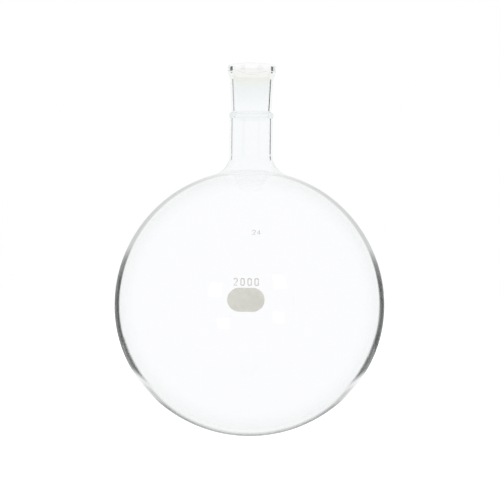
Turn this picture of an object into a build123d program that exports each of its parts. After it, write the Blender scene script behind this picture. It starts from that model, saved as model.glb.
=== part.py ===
from build123d import *
import os

# Round-bottom boiling flask, 2 litres, with one short neck and a clear 24 mm socket joint.
# It is one piece of blown borosilicate glass, turned about Z, with a writing field of fired
# white enamel on its front. Millimetres. The origin is the lowest point of the body, on the
# neck's axis; +Z runs up the neck, and -Y is the front.

# Body: rounds below and above its widest level, outside and inside.
BODY_DIAMETER = 166.0
ROUNDNESS = 0.5523       # length of the curves' control arms: this share draws an ellipse
BASE_DEPTH = 80.0        # from the widest level down to the lowest point
CROWN_RISE = 83.7        # from the widest level up to where the round would close
BELLY_WALL = 2.6
BASE_WALL = 3.0          # blown glass gathers at the bottom and thins towards the shoulder
CROWN_WALL = 2.2

# Neck tube and the flare that joins it to the body.
NECK_DIAMETER = 26.8
NECK_WALL = 1.6
NECK_RISE = 115.4        # from the widest level up to the welded ring
FLARE_RADIUS = 13.0      # outside, in the corner between neck and body

# Ring where the neck tube is welded to the socket.
RING_DIAMETER = 27.6
RING_HEIGHT = 3.8
RING_ROUNDING = 0.9
WELD_STEP = 2.0          # height of the inside step from the neck's bore to the socket's

# Socket: a ground taper of 1 in 10 on its diameter, below a straight mouth.
SOCKET_LENGTH = 20.2     # outside, from the welded ring up to the flange
SOCKET_WALL = 1.85
TAPER_RATIO = 10.0
TAPER_TOP_DIAMETER = 23.3
MOUTH_DIAMETER = 24.0
MOUTH_DEPTH = 4.1
LEAD_IN = 2.5            # height of the cone between the mouth and the taper

# Flange, fire-polished round at its rim.
FLANGE_DIAMETER = 29.8
FLANGE_CONE = 4.3        # height of the sloping underside
FLANGE_BAND = 4.7        # height of the straight edge above it
RIM_ROUNDING = 1.1
MOUTH_ROUNDING = 0.7
SOFT_ROUNDING = 1.0      # softens the corners that flame working leaves on the joint

# Writing field: an oval of enamel on the middle of the front.
FIELD_WIDTH = 21.0
FIELD_HEIGHT = 13.4
FIELD_RISE = 6.3         # from the widest level up to its middle
FIELD_THICKNESS = 0.13   # thicker than real enamel, to stay a solid
FIELD_CLEARANCE = 0.02   # between the glass and the enamel

# Heights that follow from the sizes above.
WIDEST = BASE_DEPTH
RING_BOTTOM = WIDEST + NECK_RISE
RING_TOP = RING_BOTTOM + RING_HEIGHT
FLANGE_BOTTOM = RING_TOP + SOCKET_LENGTH
BAND_BOTTOM = FLANGE_BOTTOM + FLANGE_CONE
RIM = BAND_BOTTOM + FLANGE_BAND
MOUTH_BOTTOM = RIM - MOUTH_DEPTH
TAPER_TOP = MOUTH_BOTTOM - LEAD_IN

# Radii that follow from them.
BODY_RADIUS = BODY_DIAMETER / 2
NECK_RADIUS = NECK_DIAMETER / 2
NECK_BORE = NECK_RADIUS - NECK_WALL
TAPER_TOP_RADIUS = TAPER_TOP_DIAMETER / 2


def taper_radius(height):
    """Radius of the socket's ground bore at a height."""
    return TAPER_TOP_RADIUS - (TAPER_TOP - height) / (2 * TAPER_RATIO)


def round_body(radius, depth, rise):
    """Half section of the round body, from the axis out: a quarter curve below, one above."""
    arm = ROUNDNESS * radius
    below = Bezier((0, -depth), (arm, -depth), (radius, -ROUNDNESS * depth), (radius, 0))
    above = Bezier((radius, 0), (radius, ROUNDNESS * rise), (arm, rise), (0, rise))
    return Pos(0, WIDEST) * make_face([below, above, Line((0, rise), (0, -depth))])


def column(outline):
    """Half section of the neck and joint: an outline, top first, closed down the axis."""
    top, bottom = outline[0][1], outline[-1][1]
    return make_face(Polyline((0, top), *outline, (0, bottom), close=True))


def rounded(face, corners):
    """The face with each corner, given as (radius, height), rounded to its own radius."""
    for corner, size in corners:
        vertex = face.vertices().sort_by_distance((*corner, 0))[0]
        face = fillet(vertex, size)
    return face


def flared(body, neck, neck_radius, size):
    """Body and neck joined, with the corner between them flared."""
    joined = body + neck
    on_neck = joined.vertices().filter_by(lambda v: abs(v.X - neck_radius) < 1e-4)
    return fillet(on_neck.sort_by(Axis.Y)[0], size)


def outer_section():
    """What the glass fills out to."""
    flange = FLANGE_DIAMETER / 2
    ring = RING_DIAMETER / 2
    socket_foot = taper_radius(RING_TOP) + SOCKET_WALL
    socket_head = taper_radius(FLANGE_BOTTOM) + SOCKET_WALL
    swell = RING_BOTTOM + RING_HEIGHT / 2
    shelf = RING_TOP - (ring - socket_foot) / 2
    neck = column([
        (flange, RIM),
        (flange, BAND_BOTTOM),
        (socket_head, FLANGE_BOTTOM),
        (socket_foot, RING_TOP),
        (ring, shelf),
        (ring, swell),
        (NECK_RADIUS, RING_BOTTOM),
        (NECK_RADIUS, WIDEST),
    ])
    neck = rounded(neck, [
        ((flange, RIM), RIM_ROUNDING),
        ((flange, BAND_BOTTOM), SOFT_ROUNDING),
        ((socket_head, FLANGE_BOTTOM), SOFT_ROUNDING),
        ((ring, shelf), RING_ROUNDING),
    ])
    body = round_body(BODY_RADIUS, BASE_DEPTH, CROWN_RISE)
    return flared(body, neck, NECK_RADIUS, FLARE_RADIUS)


def hollow_section():
    """What the glass leaves empty: body, neck bore, ground taper and mouth."""
    mouth = MOUTH_DIAMETER / 2
    body = round_body(BODY_RADIUS - BELLY_WALL, BASE_DEPTH - BASE_WALL, CROWN_RISE - CROWN_WALL)
    bore = column([
        (mouth, RIM),
        (mouth, MOUTH_BOTTOM),
        (TAPER_TOP_RADIUS, TAPER_TOP),
        (taper_radius(RING_TOP), RING_TOP),
        (NECK_BORE, RING_TOP - WELD_STEP),
        (NECK_BORE, WIDEST),
    ])
    bore = rounded(bore, [
        ((taper_radius(RING_TOP), RING_TOP), SOFT_ROUNDING),
        ((NECK_BORE, RING_TOP - WELD_STEP), SOFT_ROUNDING),
    ])
    return flared(body, bore, NECK_BORE, FLARE_RADIUS + NECK_WALL)


def make_flask():
    """The glass: one wall section, turned once round the axis."""
    wall = outer_section() - hollow_section()
    wall = rounded(wall, [((MOUTH_DIAMETER / 2, RIM), MOUTH_ROUNDING)])
    return revolve(Plane.XZ * wall, axis=Axis.Z)


def body_coated(thickness):
    """The round of the body as a solid, larger all over by a coat's thickness."""
    section = round_body(BODY_RADIUS + thickness, BASE_DEPTH + thickness, CROWN_RISE + thickness)
    return revolve(Plane.XZ * section, axis=Axis.Z)


def make_writing_field():
    """The enamel: an oval of a thin coat that follows the round of the body."""
    front = Plane(origin=(0, 0, WIDEST + FIELD_RISE), x_dir=(1, 0, 0), z_dir=(0, -1, 0))
    oval = extrude(front * SlotOverall(FIELD_WIDTH, FIELD_HEIGHT), amount=BODY_DIAMETER)
    return (body_coated(FIELD_CLEARANCE + FIELD_THICKNESS) & oval) - body_coated(FIELD_CLEARANCE)


os.makedirs("parts", exist_ok=True)
export_step(make_flask(), "parts/flask.step")
export_step(make_writing_field(), "parts/writing_field.step")
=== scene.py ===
"""The looks of a two-litre round-bottom flask: clear blown glass, its fired enamel and a plain studio."""

import math

import bmesh
import bpy
import numpy as np
from mathutils import Matrix, Vector


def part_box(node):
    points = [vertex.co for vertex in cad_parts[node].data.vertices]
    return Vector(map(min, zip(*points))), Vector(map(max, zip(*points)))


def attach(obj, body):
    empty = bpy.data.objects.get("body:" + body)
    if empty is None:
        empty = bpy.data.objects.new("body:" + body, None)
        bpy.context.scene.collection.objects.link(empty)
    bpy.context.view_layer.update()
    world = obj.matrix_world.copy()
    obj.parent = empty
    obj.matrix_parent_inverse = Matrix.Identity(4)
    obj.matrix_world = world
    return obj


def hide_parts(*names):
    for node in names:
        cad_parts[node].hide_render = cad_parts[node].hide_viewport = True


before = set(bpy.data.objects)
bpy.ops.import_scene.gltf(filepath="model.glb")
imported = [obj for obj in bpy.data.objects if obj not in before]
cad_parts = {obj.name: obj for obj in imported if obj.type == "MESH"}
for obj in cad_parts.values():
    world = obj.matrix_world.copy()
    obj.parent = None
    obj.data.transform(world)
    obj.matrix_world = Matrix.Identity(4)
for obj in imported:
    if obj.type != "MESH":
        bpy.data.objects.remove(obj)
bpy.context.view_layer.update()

bl_info = {
    "name": "Round-bottom flask",
    "version": (1, 0, 0),
    "blender": (4, 5, 0),
    "location": "View3D > Sidebar > Flask",
    "description": "Makes a two-litre round-bottom flask of clear glass with a fired enamel print",
    "category": "Object",
}

MM = 0.001
BODY = "root"
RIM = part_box("flask")[1].z


# ---------------------------------------------------------------- sizes and colours


def length(name, description, millimetres):
    """A length property, given in millimetres."""
    return bpy.props.FloatProperty(
        name=name, description=description, default=millimetres * MM, unit="LENGTH", precision=5
    )


def colour(name, description, code):
    """A colour property, given as an sRGB hex code."""
    return bpy.props.FloatVectorProperty(
        name=name, description=description, default=linear(code), subtype="COLOR", size=3, min=0, max=1
    )


def linear(code):
    """Scene-linear red, green and blue of an sRGB hex code such as 'D2D1C8'."""
    shares = [int(code[i:i + 2], 16) / 255 for i in (0, 2, 4)]
    return tuple(s / 12.92 if s <= 0.04045 else ((s + 0.055) / 1.055) ** 2.4 for s in shares)


class FlaskGlassSizes(bpy.types.PropertyGroup):
    """Sizes of the blown glass, as its solid has them."""

    body_diameter: length("Body diameter", "Width of the round body", 166.0)
    base_depth: length("Base depth", "From the widest level down to the lowest point", 80.0)
    crown_rise: length("Crown rise", "From the widest level up to where the round would close", 83.7)
    belly_wall: length("Belly wall", "Wall at the widest level", 2.6)
    base_wall: length("Base wall", "Wall at the lowest point", 3.0)
    crown_wall: length("Crown wall", "Wall under the neck", 2.2)
    neck_diameter: length("Neck diameter", "Outside of the neck tube", 26.8)
    neck_wall: length("Neck wall", "Wall of the neck tube", 1.6)
    neck_rise: length("Neck rise", "From the widest level up to the welded ring", 115.4)
    flare_radius: length("Flare radius", "Outside corner between neck and body", 13.0)
    ring_diameter: length("Ring diameter", "Ring where neck and socket are welded", 27.6)
    ring_height: length("Ring height", "Height of the welded ring", 3.8)
    ring_rounding: length("Ring rounding", "Upper edge of the welded ring", 0.9)
    weld_step: length("Weld step", "Height of the step inside the welded ring", 2.0)
    socket_length: length("Socket length", "From the welded ring up to the flange", 20.2)
    socket_wall: length("Socket wall", "Wall of the socket", 1.85)
    taper_top: length("Taper top diameter", "Top of the ground bore", 23.3)
    mouth_diameter: length("Mouth diameter", "Straight mouth above the ground bore", 24.0)
    mouth_depth: length("Mouth depth", "Depth of the straight mouth", 4.1)
    lead_in: length("Lead-in", "Height of the cone between mouth and ground bore", 2.5)
    flange_diameter: length("Flange diameter", "Outside of the rim", 29.8)
    flange_cone: length("Flange cone", "Height of the flange's sloping underside", 4.3)
    flange_band: length("Flange band", "Height of the flange's straight edge", 4.7)
    rim_rounding: length("Rim rounding", "Outer edge of the rim", 1.1)
    mouth_rounding: length("Mouth rounding", "Inner edge of the rim", 0.7)
    hollow_rounding: length("Hollow rounding", "Softened corners of the drawn glass", 1.0)
    taper_ratio: bpy.props.FloatProperty(
        name="Taper ratio", description="Length of ground bore for each unit of its diameter", default=10.0
    )
    segments: bpy.props.IntProperty(
        name="Segments", description="Faces round the axis", default=192, min=24, max=512
    )


class FlaskPrintSizes(bpy.types.PropertyGroup):
    """Sizes of the print on the front of the body."""

    field_width: length("Field width", "Width of the oval writing field", 21.0)
    field_height: length("Field height", "Height of the oval writing field", 13.4)
    field_rise: length("Field rise", "From the widest level up to the field's middle", 6.3)
    field_film: length("Field film", "How far the writing field stands proud of the glass", 0.14)
    sink: length("Sink", "How deep the enamel has melted into the glass", 0.04)
    capacity_rise: length("Capacity rise", "From the widest level up to the capacity's middle", 16.3)
    capacity_height: length("Capacity height", "Height of the capacity numerals", 4.3)
    capacity_width: length("Capacity width", "Width of one capacity numeral", 2.5)
    capacity_pitch: length("Capacity pitch", "From one capacity numeral to the next", 3.95)
    size_rise: length("Joint size rise", "From the widest level up to the joint size's middle", 44.4)
    size_height: length("Joint size height", "Height of the joint size numerals", 2.7)
    size_width: length("Joint size width", "Width of one joint size numeral", 2.1)
    size_pitch: length("Joint size pitch", "From one joint size numeral to the next", 2.8)
    size_shift: length("Joint size shift", "From the front's middle to the joint size's middle", 5.25)
    film: length("Numeral film", "How far the numerals stand proud of the glass", 0.10)
    capacity: bpy.props.StringProperty(
        name="Capacity", description="Capacity in millilitres, as plain numbers", default="2000"
    )
    joint_size: bpy.props.StringProperty(
        name="Joint size", description="Width of the joint in millimetres, as plain numbers", default="24"
    )


class FlaskFinish(bpy.types.PropertyGroup):
    """Colours of the glass and the enamel."""

    glass_tint: colour("Glass tint", "What one wall of the body lets through", "FEFEFF")
    neck_tint: colour("Neck tint", "What one wall of the neck lets through", "FCFDFE")
    joint_tint: colour("Joint tint", "What one wall of the socket lets through", "F7F9F9")
    weld_tint: colour("Weld tint", "What one wall of the welded ring lets through", "F8FAFA")
    rim_tint: colour("Rim tint", "What one wall of the flange lets through", "F6F7F3")
    edge_tint: colour("Edge tint", "What a wall lets through where it is seen edge on", "F2F3F3")
    glass_depth: colour("Glass depth", "Colour of a long way through the glass", "C9DCD2")
    enamel: colour("Enamel", "White enamel after firing", "D7D6CE")
    enamel_thin: colour("Thin enamel", "Where the print is thinnest", "CBCAC2")


class FlaskStage(bpy.types.PropertyGroup):
    """The plain studio and the camera."""

    floor_width: length("Floor width", "Width of the floor", 6000.0)
    # The cloth and the cards are bands that only mirrored rays see; their colour is painted reflection.
    reflection_band_radius: length("Cloth radius", "From the flask's axis to the black cloth round it", 350.0)
    reflection_band_top: length("Cloth top", "Height of the black cloth", 420.0)
    reflection_cards_radius: length("Card radius", "From the flask's axis to the narrow cards", 360.0)
    reflection_cards_bottom: length("Card bottom", "From the floor up to the lower edge of the cards", 262.0)
    reflection_cards_top: length("Card top", "From the floor up to the upper edge of the cards", 276.0)
    camera_distance: length("Camera distance", "From the neck's axis to the camera", 908.0)
    camera_height: length("Camera height", "Height of the camera above the floor", 114.3)
    camera_turn: bpy.props.FloatProperty(
        name="Camera turn", description="Turn of the camera round the flask", default=math.radians(1.4),
        subtype="ANGLE",
    )
    camera_roll: bpy.props.FloatProperty(
        name="Camera roll", description="Tilt of the picture", default=math.radians(0.6), subtype="ANGLE"
    )
    lens: bpy.props.FloatProperty(
        name="Lens", description="Focal length in millimetres, on a sensor 36 mm wide", default=105.8
    )


# ---------------------------------------------------------------- outline of the glass


def curve_points(start, first_arm, last_arm, end, steps):
    """Points along a cubic curve with two control arms."""
    t = np.linspace(0, 1, steps + 1)[:, None]
    corners = [np.array(p, float) for p in (start, first_arm, last_arm, end)]
    shares = ((1 - t) ** 3, 3 * (1 - t) ** 2 * t, 3 * (1 - t) * t ** 2, t ** 3)
    return sum(share * corner for share, corner in zip(shares, corners))


ROUNDNESS = 0.5523  # length of the arms with which a cubic curve draws an ellipse
QUARTER_STEPS = 60
SEARCH_STEPS = 40 * QUARTER_STEPS  # so fine that the flare's meeting place is found among the points
FLARE_STEPS = 14
CORNER_STEPS = 8
LONGEST_STEP = 2.0 * MM
EDGE_STEP = 0.15 * MM  # a ring this near each end of a straight stretch keeps its shading straight
SEAM = 0.002 * MM  # points nearer to each other than this are one


def body_side(radius, depth, rise, widest, neck_radius, flare):
    """One surface of the body, from its lowest point up to where the neck's wall starts."""
    arm = ROUNDNESS * radius
    low, high = -ROUNDNESS * depth, ROUNDNESS * rise
    below = curve_points((0, -depth), (arm, -depth), (radius, low), (radius, 0), QUARTER_STEPS)
    above = curve_points((radius, 0), (radius, high), (arm, rise), (0, rise), SEARCH_STEPS)
    along = np.gradient(above, axis=0)
    outward = np.stack([along[:, 1], -along[:, 0]], 1)
    outward /= np.linalg.norm(outward, axis=1)[:, None]
    centres = above + flare * outward
    meets = int(np.argmin(abs(centres[:, 0] - neck_radius - flare)))
    centre = centres[meets]
    arm_angle = math.atan2(*(above[meets] - centre)[::-1])
    turns = np.linspace(arm_angle, -math.pi, FLARE_STEPS + 1)
    corner = centre + flare * np.stack([np.cos(turns), np.sin(turns)], 1)
    crown = above[np.linspace(0, meets, QUARTER_STEPS).astype(int)]
    return np.concatenate([below, crown[1:-1], corner]) + (0, widest)


def straight(start, end):
    """Points strictly between two ends, close to each end and then evenly spread."""
    start, end = np.array(start), np.array(end)
    reach = np.linalg.norm(end - start)
    if reach < 3 * EDGE_STEP:
        return np.empty((0, 2))
    steps = max(1, math.ceil((reach - 2 * EDGE_STEP) / LONGEST_STEP))
    shares = np.linspace(EDGE_STEP / reach, 1 - EDGE_STEP / reach, steps + 1)
    return start + shares[:, None] * (end - start)


def rounded_line(corners):
    """Points along straight stretches whose corners, each (radius, height, rounding), are rounded."""
    places = [np.array(c[:2], float) for c in corners]
    points, last = [places[0][None]], places[0]
    for before, place, after, corner in zip(places, places[1:], places[2:], corners[1:]):
        back = (before - place) / np.linalg.norm(before - place)
        on = (after - place) / np.linalg.norm(after - place)
        half = math.acos(np.clip(back @ on, -1, 1)) / 2
        rounding = corner[2]
        cut = rounding / math.tan(half)
        bisector = (back + on) / np.linalg.norm(back + on)
        centre = place + bisector * rounding / math.sin(half)
        first, final = place + back * cut, place + on * cut
        share = np.linspace(0, 1, CORNER_STEPS + 1)[:, None]
        spread = math.pi - 2 * half
        arc = np.sin((1 - share) * spread) * (first - centre) + np.sin(share * spread) * (final - centre)
        arc = centre + arc / math.sin(spread)
        points += [straight(last, first), arc]
        last = final
    points += [straight(last, places[-1]), places[-1][None]]
    return np.concatenate(points)


def wall_outline(sizes):
    """Section of the glass, (radius, height), up the outside, over the rim and down the inside."""
    widest = sizes.base_depth
    ring_bottom = widest + sizes.neck_rise
    ring_top = ring_bottom + sizes.ring_height
    flange_bottom = ring_top + sizes.socket_length
    band_bottom = flange_bottom + sizes.flange_cone
    rim = band_bottom + sizes.flange_band
    taper_top = rim - sizes.mouth_depth - sizes.lead_in
    body, neck = sizes.body_diameter / 2, sizes.neck_diameter / 2
    bore = neck - sizes.neck_wall

    def taper(height):
        return sizes.taper_top / 2 - (taper_top - height) / (2 * sizes.taper_ratio)

    outside = body_side(body, widest, sizes.crown_rise, widest, neck, sizes.flare_radius)
    inside = body_side(
        body - sizes.belly_wall, widest - sizes.base_wall, sizes.crown_rise - sizes.crown_wall,
        widest, bore, sizes.flare_radius + sizes.neck_wall,
    )
    ring, flange, mouth = sizes.ring_diameter / 2, sizes.flange_diameter / 2, sizes.mouth_diameter / 2
    socket_foot = taper(ring_top) + sizes.socket_wall
    soft = sizes.hollow_rounding
    joint = rounded_line([
        (*outside[-1], 0),
        (neck, ring_bottom, soft),
        (ring, ring_bottom + sizes.ring_height / 2, soft),
        (ring, ring_top - (ring - socket_foot) / 2, sizes.ring_rounding),
        (socket_foot, ring_top, soft / 2),
        (taper(flange_bottom) + sizes.socket_wall, flange_bottom, soft),
        (flange, band_bottom, soft),
        (flange, rim, sizes.rim_rounding),
        (mouth, rim, sizes.mouth_rounding),
        (mouth, rim - sizes.mouth_depth, soft),
        (sizes.taper_top / 2, taper_top, soft),
        (taper(ring_top), ring_top, soft),
        (bore, ring_top - sizes.weld_step, soft),
        (*inside[-1], 0),
    ])
    return np.concatenate([outside[:-1], joint, inside[-2::-1]])


# ---------------------------------------------------------------- small helpers


def add(tree, kind, sockets=None, **settings):
    """Adds a node with its settings; sockets maps an input's name or number to a value or an output."""
    node = tree.nodes.new(kind)
    for name, value in settings.items():
        setattr(node, name, value)
    for name, value in (sockets or {}).items():
        if isinstance(value, bpy.types.NodeSocket):
            tree.links.new(value, node.inputs[name])
        else:
            node.inputs[name].default_value = value
    return node


def new_object(name, data):
    """An object at the origin with that data."""
    made = bpy.data.objects.new(name, data)
    bpy.context.scene.collection.objects.link(made)
    return made


def flat_curve(name, lines):
    """A curve object of straight-run splines, each (points, closed), with points (x, y)."""
    data = bpy.data.curves.new(name, "CURVE")
    data.dimensions = "3D"
    for points, closed in lines:
        spline = data.splines.new("POLY")
        spline.points.add(len(points) - 1)
        for point, (x, y) in zip(spline.points, points):
            point.co = (x, y, 0, 1)
        spline.use_cyclic_u = closed
    return new_object(name, data)


def with_nodes(source, tree, values):
    """A plain mesh of what a node tree makes of an object; values are the tree's named inputs."""
    modifier = source.modifiers.new(tree.name, "NODES")
    modifier.node_group = tree
    for item in tree.interface.items_tree:
        if item.in_out == "INPUT" and item.name in values:
            modifier[item.identifier] = values[item.name]
    evaluated = source.evaluated_get(bpy.context.evaluated_depsgraph_get())
    mesh = bpy.data.meshes.new_from_object(evaluated)
    bpy.data.objects.remove(source)
    return mesh


def outward(mesh):
    """Closes the mesh's seams and turns its faces to point out of the solid."""
    work = bmesh.new()
    work.from_mesh(mesh)
    bmesh.ops.remove_doubles(work, verts=work.verts, dist=SEAM)
    bmesh.ops.recalc_face_normals(work, faces=work.faces)
    work.to_mesh(mesh)
    work.free()


def finished(name, mesh, material, replaced=None):
    """Makes the finished piece of a mesh: with its one material, riding on the flask."""
    mesh.name = name
    mesh.materials.clear()
    mesh.materials.append(material)
    piece = new_object(name, mesh)
    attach(piece, BODY)
    if replaced:
        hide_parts(replaced)


# ---------------------------------------------------------------- node trees for shape


BEFORE = 1.0  # metres before the flask's axis from which the print is thrown back onto the glass


def shape_tree(name, inputs, output):
    """An empty tree that makes a shape; inputs maps each input's name to its kind."""
    tree = bpy.data.node_groups.new(name, "GeometryNodeTree")
    for socket, kind in inputs.items():
        tree.interface.new_socket(socket, in_out="INPUT", socket_type="NodeSocket" + kind)
    tree.interface.new_socket(output, in_out="OUTPUT", socket_type="NodeSocketGeometry")
    return tree


def lathe_tree():
    """Turns a section, drawn as (radius - turning radius, -height), once round the Z axis."""
    tree = shape_tree("Turn a section round Z", {
        "Section": "Geometry", "Turning radius": "Float", "Segments": "Int", "Seam gap": "Float",
        "Material": "Material"}, "Solid")
    given = add(tree, "NodeGroupInput").outputs
    path = add(tree, "GeometryNodeCurvePrimitiveCircle", {
        "Resolution": given["Segments"], "Radius": given["Turning radius"]})
    # With normals kept level, the section's x points away from the axis and its y points down.
    level = add(tree, "GeometryNodeSetCurveNormal", {"Curve": path.outputs[0]}, mode="Z_UP")
    turned = add(tree, "GeometryNodeCurveToMesh", {
        "Curve": level.outputs[0], "Profile Curve": given["Section"]})
    joined = add(tree, "GeometryNodeMergeByDistance", {
        "Geometry": turned.outputs[0], "Distance": given["Seam gap"]})
    smooth = add(tree, "GeometryNodeSetShadeSmooth", {"Geometry": joined.outputs[0]})
    real = add(tree, "GeometryNodeRealizeInstances", {"Geometry": smooth.outputs[0]})
    finish = add(tree, "GeometryNodeSetMaterial", {
        "Geometry": real.outputs[0], "Material": given["Material"]})
    add(tree, "NodeGroupOutput", {"Solid": finish.outputs[0]})
    return tree


def stroke_tree():
    """Draws each line of a flat print as an enamel stroke and lays it on the front of the glass."""
    tree = shape_tree("Fire strokes onto glass", {
        "Lines": "Geometry", "Glass": "Object", "Stroke width": "Float", "Film": "Float",
        "Sink": "Float", "Level": "Float", "Material": "Material"}, "Print")
    given = add(tree, "NodeGroupInput").outputs
    thick = add(tree, "ShaderNodeMath", {0: given["Film"], 1: given["Sink"]}, operation="ADD")
    strip = add(tree, "GeometryNodeCurvePrimitiveQuadrilateral", {
        "Width": given["Stroke width"], "Height": thick.outputs[0]})
    level = add(tree, "GeometryNodeSetCurveNormal", {"Curve": given["Lines"]}, mode="Z_UP")
    drawn = add(tree, "GeometryNodeCurveToMesh", {
        "Curve": level.outputs[0], "Profile Curve": strip.outputs[0], "Fill Caps": True})
    laid = lay_on_glass(tree, drawn.outputs[0], given)
    real = add(tree, "GeometryNodeRealizeInstances", {"Geometry": laid})
    finish = add(tree, "GeometryNodeSetMaterial", {
        "Geometry": real.outputs[0], "Material": given["Material"]})
    add(tree, "NodeGroupOutput", {"Print": finish.outputs[0]})
    return tree


def lay_on_glass(tree, flat, given):
    """Stands a flat print up at its level and moves it back, point by point, onto the glass."""
    place = add(tree, "ShaderNodeSeparateXYZ", {0: add(tree, "GeometryNodeInputPosition").outputs[0]})
    height = add(tree, "ShaderNodeMath", {0: place.outputs["Y"], 1: given["Level"]}, operation="ADD")
    start = add(tree, "ShaderNodeCombineXYZ", {
        "X": place.outputs["X"], "Y": -BEFORE, "Z": height.outputs[0]})
    glass = add(tree, "GeometryNodeObjectInfo", {"Object": given["Glass"]}, transform_space="ORIGINAL")
    ray = add(tree, "GeometryNodeRaycast", {
        "Target Geometry": glass.outputs["Geometry"], "Source Position": start.outputs[0],
        "Ray Direction": (0, 1, 0), "Ray Length": 2 * BEFORE})
    # The flat print's own depth runs from -half to +half; its middle is lifted to leave the film proud.
    proud = add(tree, "ShaderNodeMath", {0: given["Film"], 1: given["Sink"]}, operation="SUBTRACT")
    half = add(tree, "ShaderNodeMath", {0: proud.outputs[0], 1: 0.5}, operation="MULTIPLY")
    lift = add(tree, "ShaderNodeMath", {0: place.outputs["Z"], 1: half.outputs[0]}, operation="ADD")
    out = add(tree, "ShaderNodeVectorMath", {
        0: ray.outputs["Hit Normal"], "Scale": lift.outputs[0]}, operation="SCALE")
    where = add(tree, "ShaderNodeVectorMath", {
        0: ray.outputs["Hit Position"], 1: out.outputs[0]}, operation="ADD")
    return add(tree, "GeometryNodeSetPosition", {
        "Geometry": flat, "Position": where.outputs[0]}).outputs[0]


# ---------------------------------------------------------------- materials


GLASS_IOR = 1.474
GLASS_DENSITY = 5.0  # how strongly the depth colour tells in each metre of glass
ENAMEL_IOR = 1.5


def bare_material(name):
    """A material whose node tree is empty, and that tree."""
    material = bpy.data.materials.new(name)
    material.use_nodes = True
    material.node_tree.nodes.clear()
    return material, material.node_tree


def borosilicate_glass(finish):
    """Borosilicate glass, blown and fire-polished: clear, with slow ripples in its skin."""
    material, tree = bare_material("borosilicate_glass_blown")
    place = add(tree, "ShaderNodeTexCoord").outputs["Object"]
    # Blowing leaves ripples a few centimetres long and a few hundredths of a millimetre deep.
    ripple = add(tree, "ShaderNodeTexNoise", {"Vector": place, "Scale": 1 / (42 * MM), "Detail": 1.5})
    bump = add(tree, "ShaderNodeBump", {
        "Height": ripple.outputs["Fac"], "Strength": 1.0, "Distance": 0.035 * MM})
    # The joint is thicker than the neck and was worked longest in the flame, most of all its flange.
    # Each tint is given with its depth below the rim, in millimetres.
    height = add(tree, "ShaderNodeSeparateXYZ", {0: place}).outputs["Z"]
    tint = levels(tree, height, [(RIM - down * MM, shade) for down, shade in (
        (80, finish.glass_tint), (60, finish.neck_tint), (34, finish.neck_tint), (33, finish.weld_tint),
        (29.5, finish.weld_tint), (28.5, finish.neck_tint), (12, finish.joint_tint), (10, finish.rim_tint),
        (4.5, finish.rim_tint), (2.5, finish.glass_tint))])
    # The way through a wall is longer the more it is seen edge on.
    facing = add(tree, "ShaderNodeLayerWeight", {"Blend": 0.5}).outputs["Facing"]
    slant = add(tree, "ShaderNodeMapRange", {"Value": facing, "From Min": 0.45, "From Max": 0.85},
                interpolation_type="SMOOTHSTEP")
    edged = add(tree, "ShaderNodeMix", {
        "Factor": slant.outputs[0], "A": tint, "B": (*finish.edge_tint, 1)},
        data_type="RGBA")
    glass = add(tree, "ShaderNodeBsdfPrincipled", {
        "Base Color": edged.outputs["Result"], "Roughness": 0.0, "IOR": GLASS_IOR,
        "Transmission Weight": 1.0, "Normal": bump.outputs[0]})
    # Lamps and soft light pass straight through, a little weaker, so the glass casts a faint shadow.
    clear = add(tree, "ShaderNodeBsdfTransparent", {"Color": (0.93, 0.95, 0.95, 1)})
    rays = add(tree, "ShaderNodeLightPath").outputs
    lamp_rays = add(tree, "ShaderNodeMath", {
        0: rays["Is Shadow Ray"], 1: rays["Is Diffuse Ray"]}, operation="MAXIMUM")
    # So does light that the walls have already turned back several times, which leaves no black spots.
    trapped = add(tree, "ShaderNodeMath", {0: rays["Glossy Depth"], 1: 3.5}, operation="GREATER_THAN")
    straight_on = add(tree, "ShaderNodeMath", {
        0: lamp_rays.outputs[0], 1: trapped.outputs[0]}, operation="MAXIMUM")
    mixed = add(tree, "ShaderNodeMixShader", {
        0: straight_on.outputs[0], 1: glass.outputs[0], 2: clear.outputs[0]})
    depth = add(tree, "ShaderNodeVolumeAbsorption", {
        "Color": (*finish.glass_depth, 1), "Density": GLASS_DENSITY})
    add(tree, "ShaderNodeOutputMaterial", {"Surface": mixed.outputs[0], "Volume": depth.outputs[0]})
    return material


def fired_enamel(finish):
    """White enamel, screen-printed and fired: half matt, with the faint grain of the mesh."""
    material, tree = bare_material("white_enamel_fired")
    place = add(tree, "ShaderNodeTexCoord").outputs["Object"]
    # The print's cover varies over a few millimetres; its grain is drawn at a third of a millimetre.
    cloud = add(tree, "ShaderNodeTexNoise", {"Vector": place, "Scale": 1 / (5 * MM), "Detail": 2.0})
    grain = add(tree, "ShaderNodeTexNoise", {"Vector": place, "Scale": 1 / (0.33 * MM), "Detail": 2.0})
    cover = add(tree, "ShaderNodeMath", {
        0: cloud.outputs["Fac"], 1: grain.outputs["Fac"]}, operation="MULTIPLY")
    spread = add(tree, "ShaderNodeMapRange", {
        "Value": cover.outputs[0], "From Min": 0.12, "From Max": 0.36})
    tone = add(tree, "ShaderNodeMix", {
        "Factor": spread.outputs[0], "A": (*finish.enamel_thin, 1), "B": (*finish.enamel, 1)},
        data_type="RGBA")
    bump = add(tree, "ShaderNodeBump", {
        "Height": grain.outputs["Fac"], "Strength": 0.4, "Distance": 0.02 * MM})
    rough = add(tree, "ShaderNodeMapRange", {
        "Value": grain.outputs["Fac"], "To Min": 0.42, "To Max": 0.6})
    enamel = add(tree, "ShaderNodeBsdfPrincipled", {
        "Base Color": tone.outputs["Result"], "Roughness": rough.outputs[0], "IOR": ENAMEL_IOR,
        "Normal": bump.outputs[0]})
    add(tree, "ShaderNodeOutputMaterial", {"Surface": enamel.outputs[0]})
    return material


# ---------------------------------------------------------------- operators


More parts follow.
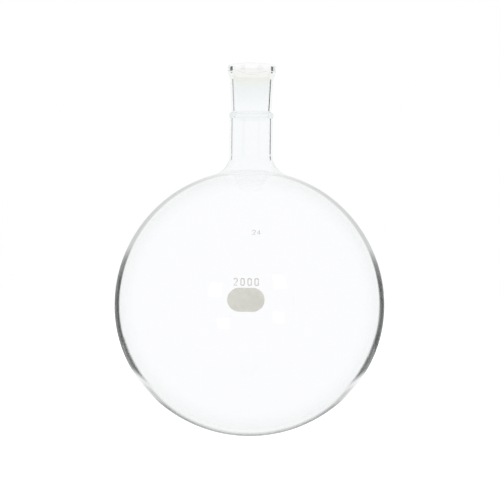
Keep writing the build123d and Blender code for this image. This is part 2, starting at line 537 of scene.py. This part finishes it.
class FLASK_OT_blow_glass(bpy.types.Operator):
    """Turn the section of the wall into the blown glass flask"""

    bl_idname = "flask.blow_glass"
    bl_label = "Blow the glass"

    def execute(self, context):
        sizes = context.scene.flask_glass
        turning = sizes.body_diameter / 4
        section = [(radius - turning, -height) for radius, height in wall_outline(sizes)]
        drawn = flat_curve("glass_section", [(section, False)])
        material = borosilicate_glass(context.scene.flask_finish)
        mesh = with_nodes(drawn, lathe_tree(), {
            "Turning radius": turning, "Segments": sizes.segments, "Seam gap": SEAM / 2,
            "Material": material})
        outward(mesh)
        finished("flask_glass", mesh, material, "flask")
        return {"FINISHED"}


STROKE = 0.14  # width of a numeral's stroke, in its heights
BEND = 0.65  # radius of a numeral's bends, in half its widths
BEND_POINTS = 7
KNEE = 0.14  # height of the 2's knee above its middle, in its heights
STEM = 0.4  # how far the 4's stem stands from its middle, in half its widths
BAR = 0.22  # how far the 4's bar lies below its middle, in its heights


def numeral_lines(digit, height, width):
    """Centre lines of one numeral, as (points, closed), about its middle."""
    top, side = height / 2, width / 2
    bend = BEND * side

    def corner(x, y, first):
        """A quarter turn, from that many degrees on, inside the corner that points to (x, y)."""
        turns = np.radians(np.linspace(first, first + 90, BEND_POINTS))
        middle = (x * (side - bend), y * (top - bend))
        return [(middle[0] + bend * math.cos(t), middle[1] + bend * math.sin(t)) for t in turns]

    if digit == "0":
        return [(corner(1, 1, 0) + corner(-1, 1, 90) + corner(-1, -1, 180) + corner(1, -1, 270), True)]
    if digit == "2":
        head = [*reversed(corner(-1, 1, 90)), *reversed(corner(1, 1, 0))]
        return [(head + [(side, KNEE * height), (-side, -top), (side, -top)], False)]
    if digit == "4":
        stem, bar = STEM * side, -BAR * height
        slope = [(stem, top), (-side, bar), (side, bar)]
        return [(slope, False), ([(stem, top), (stem, -top)], False)]
    raise ValueError(f"no lines are drawn for the numeral {digit!r}")


def row_of_numerals(text, height, width, pitch, middle):
    """Centre lines of a row of numerals, about its middle."""
    lines = []
    for place, digit in enumerate(text):
        shift = middle + (place - (len(text) - 1) / 2) * pitch
        for points, closed in numeral_lines(digit, height, width):
            lines.append(([(x + shift, y) for x, y in points], closed))
    return lines


class FLASK_OT_fire_enamel(bpy.types.Operator):
    """Print the oval writing field and the plain numerals on the front, and fire them"""

    bl_idname = "flask.fire_enamel"
    bl_label = "Fire the enamel"

    def execute(self, context):
        scene = context.scene
        sizes, widest = scene.flask_print, scene.flask_glass.base_depth
        material = fired_enamel(scene.flask_finish)
        glass = bpy.data.objects["flask_glass"]
        fire_field(sizes, widest, glass, material)
        tree = stroke_tree()
        rows = [
            ("capacity_numerals", sizes.capacity, sizes.capacity_height, sizes.capacity_width,
             sizes.capacity_pitch, 0, sizes.capacity_rise),
            ("joint_size_numerals", sizes.joint_size, sizes.size_height, sizes.size_width,
             sizes.size_pitch, sizes.size_shift, sizes.size_rise),
        ]
        for name, text, height, width, pitch, middle, rise in rows:
            stroke = STROKE * height
            drawn = flat_curve(name, row_of_numerals(text, height - stroke, width - stroke, pitch, middle))
            mesh = with_nodes(drawn, tree, {
                "Glass": glass, "Stroke width": stroke, "Film": sizes.film, "Sink": sizes.sink,
                "Level": widest + rise, "Material": material})
            outward(mesh)
            finished(name, mesh, material)
        return {"FINISHED"}


def fire_field(sizes, widest, glass, material):
    """The oval writing field: rings of its outline, shrinking to its middle, laid on the glass."""
    rings, around = 12, 96
    end = sizes.field_height / 2
    run = sizes.field_width / 2 - end
    work = bmesh.new()

    def outline(turn):
        x, z = end * math.cos(turn), end * math.sin(turn)
        return x + math.copysign(run, x), z

    def laid(x, z, proud):
        start = Vector((x, -BEFORE, widest + sizes.field_rise + z))
        hit, place, normal, _ = glass.ray_cast(start, Vector((0, 1, 0)))
        if not hit:
            raise RuntimeError("the writing field lies off the glass")
        return place + proud * normal

    def face_of(proud):
        middle = work.verts.new(laid(0, 0, proud))
        loops = []
        for ring in range(1, rings + 1):
            share = ring / rings
            turns = [2 * math.pi * (k + 0.5) / around for k in range(around)]
            loops.append([work.verts.new(laid(*(share * v for v in outline(t)), proud)) for t in turns])
        for k in range(around):
            work.faces.new((middle, loops[0][k], loops[0][k - 1]))
        for inner, outer in zip(loops, loops[1:]):
            for k in range(around):
                work.faces.new((inner[k - 1], inner[k], outer[k], outer[k - 1]))
        return loops[-1]

    proud_edge, sunk_edge = face_of(sizes.field_film), face_of(-sizes.sink)
    for k in range(around):
        work.faces.new((proud_edge[k - 1], proud_edge[k], sunk_edge[k], sunk_edge[k - 1]))
    mesh = bpy.data.meshes.new("writing_field_enamel")
    work.to_mesh(mesh)
    work.free()
    outward(mesh)
    finished("writing_field_enamel", mesh, material, "writing_field")


# ---------------------------------------------------------------- stage


# The dark edge of the glass is a painted reflection, drawn by how far from the body's middle a mirrored
# ray's line passes.
EDGE_UNDER = 76.8 * MM  # where the edge starts under the body
EDGE_FLANKS = 78.5 * MM  # and at its lower flanks
EDGE_SIDES = 79.2 * MM  # and at its sides
EDGE_FADE = 1.2 * MM  # over which the edge darkens
PAST_EDGE = (85 * MM, 88 * MM)  # just outside the outline, where the edge ends
# The cloth, cards and lamps' lit faces below carry painted reflections and painted highlights, seen only by
# mirrored rays.
PAST_BODY = (83 * MM, 86 * MM)  # outside which the neck's rays go on through the cloth
LAMPS_SHOW = (27 * MM, 29 * MM)  # inside which rays go on through the cloth to the lamps
LAMP_PART = (55 * MM, 60 * MM)  # inside which the lamps' lit faces are seen at all
JOINT_PART = (110 * MM, 120 * MM)  # outside which rays come from the joint and see the cards

WHITE = (1, 1, 1, 1)
FLOOR_WHITE = (0.8, 0.8, 0.8, 1)
FLOOR_GLOW = 0.5  # what brings the floor, as it is seen, up to the backdrop's white
ROOM_GREY = (0.75, 0.75, 0.75, 1)  # the soft light all round
LAMP_AIM = 90 * MM  # height of the point that the lamps face
# Glow of the painted highlights that stand for the soft boxes' lit faces, and how far behind each lamp its
# square stands.
PAINTED_HIGHLIGHT_GLOW = 1.9
HIGHLIGHT_CARD_GAP = 10 * MM  # from a lamp back to its lit face


def seen_white(tree):
    """1 for rays that should see the plain white backdrop: the camera's, and those through glass."""
    rays = add(tree, "ShaderNodeLightPath").outputs
    first = add(tree, "ShaderNodeMath", {
        0: rays["Is Camera Ray"], 1: rays["Is Glossy Ray"]}, operation="MAXIMUM")
    return add(tree, "ShaderNodeMath", {
        0: first.outputs[0], 1: rays["Is Transmission Ray"]}, operation="MAXIMUM").outputs[0]


def mirrored(tree):
    """1 for rays turned back by the wall nearest the eye: they see the room, not the white."""
    rays = add(tree, "ShaderNodeLightPath").outputs
    turned = add(tree, "ShaderNodeMath", {0: rays["Glossy Depth"], 1: 0.5}, operation="GREATER_THAN")
    one_wall = add(tree, "ShaderNodeMath", {0: rays["Transmission Depth"], 1: 2.5}, operation="LESS_THAN")
    return add(tree, "ShaderNodeMath", {
        0: turned.outputs[0], 1: one_wall.outputs[0]}, operation="MULTIPLY").outputs[0]


def off_the_skin(tree):
    """1 for rays that have not been inside the glass: those that its skin mirrors."""
    depth = add(tree, "ShaderNodeLightPath").outputs["Transmission Depth"]
    return add(tree, "ShaderNodeMath", {0: depth, 1: 0.5}, operation="LESS_THAN").outputs[0]


def levels(tree, value, stops):
    """A grey or colour that follows a value through (value, level) stops, with smooth steps between."""
    first, last = stops[0][0], stops[-1][0]
    share = add(tree, "ShaderNodeMapRange", {"Value": value, "From Min": first, "From Max": last})
    ramp = add(tree, "ShaderNodeValToRGB", {0: share.outputs[0]})
    ramp.color_ramp.interpolation = "EASE"
    while len(ramp.color_ramp.elements) < len(stops):
        ramp.color_ramp.elements.new(0.5)
    for element, (place, level) in zip(ramp.color_ramp.elements, stops):
        element.position = (place - first) / (last - first)
        element.color = (level, level, level, 1) if isinstance(level, float) else (*level, 1)
    return ramp.outputs[0]


# The painted reflections and highlights of the stage are shaped by this ray line.
def nearest_to_middle(tree):
    """How far from the round body's middle a ray's line passes, and how high: 1 over it, -1 under.

    Both belong to the line in the room, from whichever side the flask is looked at.
    """
    ray = add(tree, "ShaderNodeNewGeometry").outputs
    sizes = bpy.context.scene.flask_glass
    middle = (0, 0, (sizes.base_depth + sizes.crown_rise) / 2)
    arm = add(tree, "ShaderNodeVectorMath", {0: ray["Position"], 1: middle}, operation="SUBTRACT")
    along = add(tree, "ShaderNodeVectorMath", {0: arm.outputs[0], 1: ray["Incoming"]}, operation="PROJECT")
    nearest = add(tree, "ShaderNodeVectorMath", {
        0: arm.outputs[0], 1: along.outputs[0]}, operation="SUBTRACT").outputs[0]
    away = add(tree, "ShaderNodeVectorMath", {0: nearest}, operation="LENGTH").outputs["Value"]
    aim = add(tree, "ShaderNodeVectorMath", {0: nearest}, operation="NORMALIZE").outputs[0]
    return away, add(tree, "ShaderNodeSeparateXYZ", {0: aim}).outputs["Z"]


def lighter(tree, *greys):
    """The lightest of some greys."""
    lightest = greys[0]
    for grey in greys[1:]:
        lightest = add(tree, "ShaderNodeMath", {0: lightest, 1: grey}, operation="MAXIMUM").outputs[0]
    return lightest


def beside_the_edge(tree, away, start):
    """The mask of the painted dark edge: 0 for rays that pass that far from the body's middle, along its
    edge, and 1 for all others.
    """
    return levels(tree, away, [
        (start, 1.0), (start + EDGE_FADE, 0.0), (PAST_EDGE[0], 0.0), (PAST_EDGE[1], 1.0)])


def diagonal(tree, place):
    """Which diagonal a place lies near, seen from above: 0 on the X and Y axes, 0.5 and -0.5 on one."""
    level = add(tree, "ShaderNodeVectorMath", {0: place, 1: (1, 1, 0)}, operation="MULTIPLY")
    flat = add(tree, "ShaderNodeVectorMath", {0: level.outputs[0]}, operation="NORMALIZE")
    parts = add(tree, "ShaderNodeSeparateXYZ", {0: flat.outputs[0]}).outputs
    return add(tree, "ShaderNodeMath", {0: parts["X"], 1: parts["Y"]}, operation="MULTIPLY").outputs[0]


def studio_world():
    """Soft white light all round, and a painted reflection for the neck: narrow dark strips on the
    diagonals.
    """
    world = bpy.data.worlds.new("studio")
    bpy.context.scene.world = world
    world.use_nodes = True
    tree = world.node_tree
    tree.nodes.clear()
    look = add(tree, "ShaderNodeTexCoord").outputs["Generated"]
    up = add(tree, "ShaderNodeSeparateXYZ", {0: look}).outputs["Z"]
    # The painted dark strips stand a little above the level of the eye, and those on one diagonal are
    # paler.
    across = levels(tree, diagonal(tree, look), [
        (-0.49, 0.6), (-0.475, 0.0), (0.475, 0.0), (0.49, 1.0)])
    upright = levels(tree, up, [(0.02, 0.0), (0.04, 1.0), (0.13, 1.0), (0.17, 0.0)])
    painted_flag_reflections = add(tree, "ShaderNodeMath", {0: across, 1: upright}, operation="MULTIPLY")
    between = add(tree, "ShaderNodeMath", {0: 1.0, 1: painted_flag_reflections.outputs[0]}, operation="SUBTRACT")
    room = lighter(tree, between.outputs[0], off_the_skin(tree))
    seen = add(tree, "ShaderNodeMix", {
        "Factor": mirrored(tree), "A": WHITE, "B": room}, data_type="RGBA")
    lit = add(tree, "ShaderNodeMix", {
        "Factor": seen_white(tree), "A": ROOM_GREY, "B": seen.outputs["Result"]},
        data_type="RGBA")
    back = add(tree, "ShaderNodeBackground", {"Color": lit.outputs["Result"], "Strength": 1.0})
    add(tree, "ShaderNodeOutputWorld", {"Surface": back.outputs[0]})


def painted_reflection_floor():
    """Matt white paint that meets the white backdrop unseen, and keeps the flask's shadow; for rays the
    glass mirrors it shows a painted dark reflection instead.
    """
    material, tree = bare_material("white_paint_matt")
    matt = add(tree, "ShaderNodeBsdfDiffuse", {"Color": FLOOR_WHITE})
    lift = add(tree, "ShaderNodeMath", {0: seen_white(tree), 1: FLOOR_GLOW}, operation="MULTIPLY")
    glow = add(tree, "ShaderNodeEmission", {"Strength": lift.outputs[0]})
    lit = add(tree, "ShaderNodeAddShader", {0: matt.outputs[0], 1: glow.outputs[0]})
    # Painted reflection, for rays the glass mirrors: dark beside the lower sides of the body, and grey
    # where the rays that pass under the body come down steeply.
    away, high = nearest_to_middle(tree)
    sight = add(tree, "ShaderNodeNewGeometry").outputs["Incoming"]
    down = add(tree, "ShaderNodeSeparateXYZ", {0: sight}).outputs["Z"]
    steep = levels(tree, down, [(0.05, 1.0), (0.11, 0.2), (0.3, 0.16), (0.4, 1.0)])
    under = lighter(tree, steep, levels(tree, high, [(-0.76, 0.0), (-0.64, 1.0)]),
                    beside_the_edge(tree, away, EDGE_UNDER))
    steeper = levels(tree, down, [(0.24, 1.0), (0.28, 0.4), (0.37, 0.4), (0.42, 1.0)])
    shoulder = levels(tree, high, [(-0.86, 0.0), (-0.78, 0.6), (-0.6, 0.6), (-0.5, 1.0)])
    flanks = lighter(tree, steeper, shoulder, beside_the_edge(tree, away, EDGE_FLANKS))
    sides = lighter(tree, levels(tree, high, [(-0.52, 1.0), (-0.44, 0.04)]),
                    beside_the_edge(tree, away, EDGE_SIDES))
    lower = add(tree, "ShaderNodeMath", {0: under, 1: flanks}, operation="MINIMUM")
    level = add(tree, "ShaderNodeMath", {0: lower.outputs[0], 1: sides}, operation="MINIMUM")
    # The painted reflection is lighter where only the skin mirrors it.
    painted_skin_shine = add(tree, "ShaderNodeMath", {0: off_the_skin(tree), 1: 0.4}, operation="MULTIPLY")
    dark = add(tree, "ShaderNodeEmission", {"Color": lighter(tree, level.outputs[0], painted_skin_shine.outputs[0])})
    plain = add(tree, "ShaderNodeEmission", {"Color": WHITE})
    depth = add(tree, "ShaderNodeLightPath").outputs["Transmission Depth"]
    through = add(tree, "ShaderNodeMath", {0: depth, 1: 0.5}, operation="GREATER_THAN")
    seen = add(tree, "ShaderNodeMixShader", {0: through.outputs[0], 1: lit.outputs[0], 2: plain.outputs[0]})
    mixed = add(tree, "ShaderNodeMixShader", {0: mirrored(tree), 1: seen.outputs[0], 2: dark.outputs[0]})
    add(tree, "ShaderNodeOutputMaterial", {"Surface": mixed.outputs[0]})
    return material


def painted_edge_reflection_material():
    """Painted reflection of a black cloth that only mirror images in the glass show: black beside the body,
    paler at its crown.
    """
    material, tree = bare_material("black_cloth_hung")
    place = add(tree, "ShaderNodeTexCoord").outputs["Object"]
    away, high = nearest_to_middle(tree)
    sides = levels(tree, high, [
        (-0.53, 1.0), (-0.45, 0.03), (0.12, 0.03), (0.26, 0.22), (0.42, 0.64), (0.8, 0.7), (0.98, 0.92)])
    # Painted light gaps in the reflection: looking along a diagonal, a ray sees between two of four widths
    # of cloth.
    sight = add(tree, "ShaderNodeNewGeometry").outputs["Incoming"]
    painted_gaps = levels(tree, diagonal(tree, sight), [
        (-0.485, 1.0), (-0.45, 0.0), (0.45, 0.0), (0.485, 1.0)])
    # Painted sheen in the reflection, in upright streaks a few centimetres apart, like a cloth's folds.
    upright = add(tree, "ShaderNodeVectorMath", {0: place, 1: (1, 1, 0.12)}, operation="MULTIPLY")
    folds = add(tree, "ShaderNodeTexNoise", {"Vector": upright.outputs[0], "Scale": 1 / (45 * MM)})
    painted_fold_sheen = add(tree, "ShaderNodeMapRange", {
        "Value": folds.outputs["Fac"], "From Min": 0.5, "From Max": 0.72, "To Max": 0.4})
    # The skin's painted reflection also gets a soft shine of the cloth, which the inside of the wall
    # doesn't.
    painted_skin_shine = add(tree, "ShaderNodeMath", {0: off_the_skin(tree), 1: 0.15}, operation="MULTIPLY")
    # The painted dark reflection, an emission that only mirrored rays see.
    dark = add(tree, "ShaderNodeEmission", {
        "Color": lighter(tree, sides, painted_gaps, painted_fold_sheen.outputs[0], painted_skin_shine.outputs[0])})
    unseen = add(tree, "ShaderNodeBsdfTransparent")
    # Away from the edge the body's reflection is painted plain white, but for its middle, where the lamps
    # show.
    plain = add(tree, "ShaderNodeEmission", {"Color": WHITE})
    open_parts = levels(tree, away, [
        (LAMPS_SHOW[0], 1.0), (LAMPS_SHOW[1], 0.0), (PAST_BODY[0], 0.0), (PAST_BODY[1], 1.0)])
    others = add(tree, "ShaderNodeMixShader", {0: open_parts, 1: plain.outputs[0], 2: unseen.outputs[0]})
    beyond = add(tree, "ShaderNodeMixShader", {
        0: beside_the_edge(tree, away, EDGE_SIDES), 1: dark.outputs[0], 2: others.outputs[0]})
    mixed = add(tree, "ShaderNodeMixShader", {
        0: mirrored(tree), 1: unseen.outputs[0], 2: beyond.outputs[0]})
    add(tree, "ShaderNodeOutputMaterial", {"Surface": mixed.outputs[0]})
    return material


def black_card():
    """Painted reflection for the joint's mirror images: four narrow dark strips, one on each diagonal, on a
    band that only they show.
    """
    material, tree = bare_material("black_card")
    sight = add(tree, "ShaderNodeNewGeometry").outputs["Incoming"]
    card = levels(tree, diagonal(tree, sight), [
        (-0.46, 0.03), (-0.43, 1.0), (0.43, 1.0), (0.46, 0.03)])
    away, _ = nearest_to_middle(tree)
    body = levels(tree, away, [(JOINT_PART[0], 1.0), (JOINT_PART[1], 0.0)])
    # The painted dark strips, an emission that only mirrored rays see.
    dark = add(tree, "ShaderNodeEmission", {"Color": lighter(tree, card, body)})
    unseen = add(tree, "ShaderNodeBsdfTransparent")
    mixed = add(tree, "ShaderNodeMixShader", {0: mirrored(tree), 1: unseen.outputs[0], 2: dark.outputs[0]})
    add(tree, "ShaderNodeOutputMaterial", {"Surface": mixed.outputs[0]})
    return material


def round_band(name, radius, bottom, top, material, sides=96):
    """A round band that stands about the flask and carries painted reflections."""
    turns = [2 * math.pi * k / sides for k in range(sides)]
    feet = [(radius * math.cos(t), radius * math.sin(t)) for t in turns]
    corners = [(x, y, z) for z in (bottom, top) for x, y in feet]
    faces = [(k - 1 if k else sides - 1, k, k + sides, k + sides - 1 if k else 2 * sides - 1)
             for k in range(sides)]
    mesh = bpy.data.meshes.new(name)
    mesh.from_pydata(corners, [], faces)
    mesh.materials.append(material)
    new_object(name, mesh)


def square(name, half, height, material):
    """A square of the stage, raised that far above its own origin."""
    mesh = bpy.data.meshes.new(name)
    corners = [(-half, -half, height), (half, -half, height), (half, half, height), (-half, half, height)]
    mesh.from_pydata(corners, [], [(0, 1, 2, 3)])
    mesh.materials.append(material)
    made = new_object(name, mesh)
    return made


def soft_box(name, turn, rise, distance, width, power):
    """A square lamp aimed at the middle of the body; turn and rise are in degrees from the front."""
    aim = Vector((0, 0, LAMP_AIM))
    turn, rise = math.radians(turn), math.radians(rise)
    away = Vector((math.sin(turn) * math.cos(rise), -math.cos(turn) * math.cos(rise), math.sin(rise)))
    data = bpy.data.lights.new(name, "AREA")
    data.size, data.energy = width, power
    lamp = new_object(name, data)
    lamp.location = aim + distance * away
    lamp.rotation_euler = away.to_track_quat("Z", "Y").to_euler()
    lamp.visible_glossy = lamp.visible_transmission = False
    return lamp


def painted_lamp_highlight_material():
    """Painted highlight: a glowing square for the lit cloth on the face of a soft box, as the round of the
    body mirrors it.
    """
    material, tree = bare_material("diffuser_cloth_lit")
    glow = add(tree, "ShaderNodeEmission", {"Strength": PAINTED_HIGHLIGHT_GLOW})
    unseen = add(tree, "ShaderNodeBsdfTransparent")
    away, _ = nearest_to_middle(tree)
    round_part = levels(tree, away, [(LAMP_PART[0], 1.0), (LAMP_PART[1], 0.0)])
    mixed = add(tree, "ShaderNodeMixShader", {0: round_part, 1: unseen.outputs[0], 2: glow.outputs[0]})
    add(tree, "ShaderNodeOutputMaterial", {"Surface": mixed.outputs[0]})
    return material


def highlight_card(lamp, material):
    """A square just behind a lamp, carrying its painted highlight, which the glass shows and the camera
    doesn't see.
    """
    face = square(lamp.name + "_face", lamp.data.size / 2, HIGHLIGHT_CARD_GAP, material)
    face.location, face.rotation_euler = lamp.location, lamp.rotation_euler
    face.visible_camera = face.visible_diffuse = face.visible_shadow = False


class FLASK_OT_set_stage(bpy.types.Operator):
    """Set up the white floor, the soft lamps and the camera"""

    bl_idname = "flask.set_stage"
    bl_label = "Set the stage"

    def execute(self, context):
        stage = context.scene.flask_stage
        square("floor", stage.floor_width / 2, 0, painted_reflection_floor())
        # Bands that carry painted reflections for the glass's dark edges and the joint.
        round_band("cloth_round", stage.reflection_band_radius, 0, stage.reflection_band_top, painted_edge_reflection_material())
        round_band("card_round", stage.reflection_cards_radius, stage.reflection_cards_bottom, stage.reflection_cards_top, black_card())
        studio_world()
        # The painted highlights of the side lamps.
        cloth = painted_lamp_highlight_material()
        alike = {"distance": 1.6, "width": 0.30, "power": 3.5}
        highlight_card(soft_box("soft_box_left", turn=-27, rise=13, **alike), cloth)
        highlight_card(soft_box("soft_box_right", turn=27, rise=20, **alike), cloth)
        soft_box("soft_box_above", turn=150, rise=62, distance=1.5, width=0.8, power=5.0)
        aim_camera(stage)
        context.scene.view_settings.view_transform = "Standard"
        return {"FINISHED"}


def aim_camera(stage):
    """A level camera at the height of the upper body, turned and rolled as set."""
    data = bpy.data.cameras.new("camera")
    data.lens, data.sensor_width = stage.lens, 36.0
    data.clip_start, data.clip_end = 0.01, 50.0
    camera = new_object("camera", data)
    out = Vector((math.sin(stage.camera_turn), -math.cos(stage.camera_turn), 0))
    roll = Matrix.Rotation(stage.camera_roll, 4, "Z")
    camera.matrix_world = (
        Matrix.Translation(out * stage.camera_distance + Vector((0, 0, stage.camera_height)))
        @ out.to_track_quat("Z", "Y").to_matrix().to_4x4() @ roll
    )
    bpy.context.scene.camera = camera


class FLASK_PT_panel(bpy.types.Panel):
    """Sizes, colours and steps of the flask"""

    bl_idname = "FLASK_PT_panel"
    bl_label = "Round-bottom flask"
    bl_space_type = "VIEW_3D"
    bl_region_type = "UI"
    bl_category = "Flask"

    def draw(self, context):
        for step in STEPS:
            self.layout.operator(step.bl_idname)
        for title, group in GROUPS.items():
            box = self.layout.box()
            box.label(text=title.replace("_", " ").capitalize())
            for name in group.__annotations__:
                box.prop(getattr(context.scene, title), name)


STEPS = (FLASK_OT_blow_glass, FLASK_OT_fire_enamel, FLASK_OT_set_stage)
GROUPS = {
    "flask_glass": FlaskGlassSizes,
    "flask_print": FlaskPrintSizes,
    "flask_finish": FlaskFinish,
    "flask_stage": FlaskStage,
}


def register():
    for kind in (*GROUPS.values(), *STEPS, FLASK_PT_panel):
        bpy.utils.register_class(kind)
    for name, group in GROUPS.items():
        setattr(bpy.types.Scene, name, bpy.props.PointerProperty(type=group))


def unregister():
    for name in GROUPS:
        delattr(bpy.types.Scene, name)
    for kind in (FLASK_PT_panel, *reversed(STEPS), *reversed(GROUPS.values())):
        bpy.utils.unregister_class(kind)


def main():
    register()
    bpy.ops.flask.blow_glass()
    bpy.ops.flask.fire_enamel()
    bpy.ops.flask.set_stage()


if __name__ == "__main__":
    main()
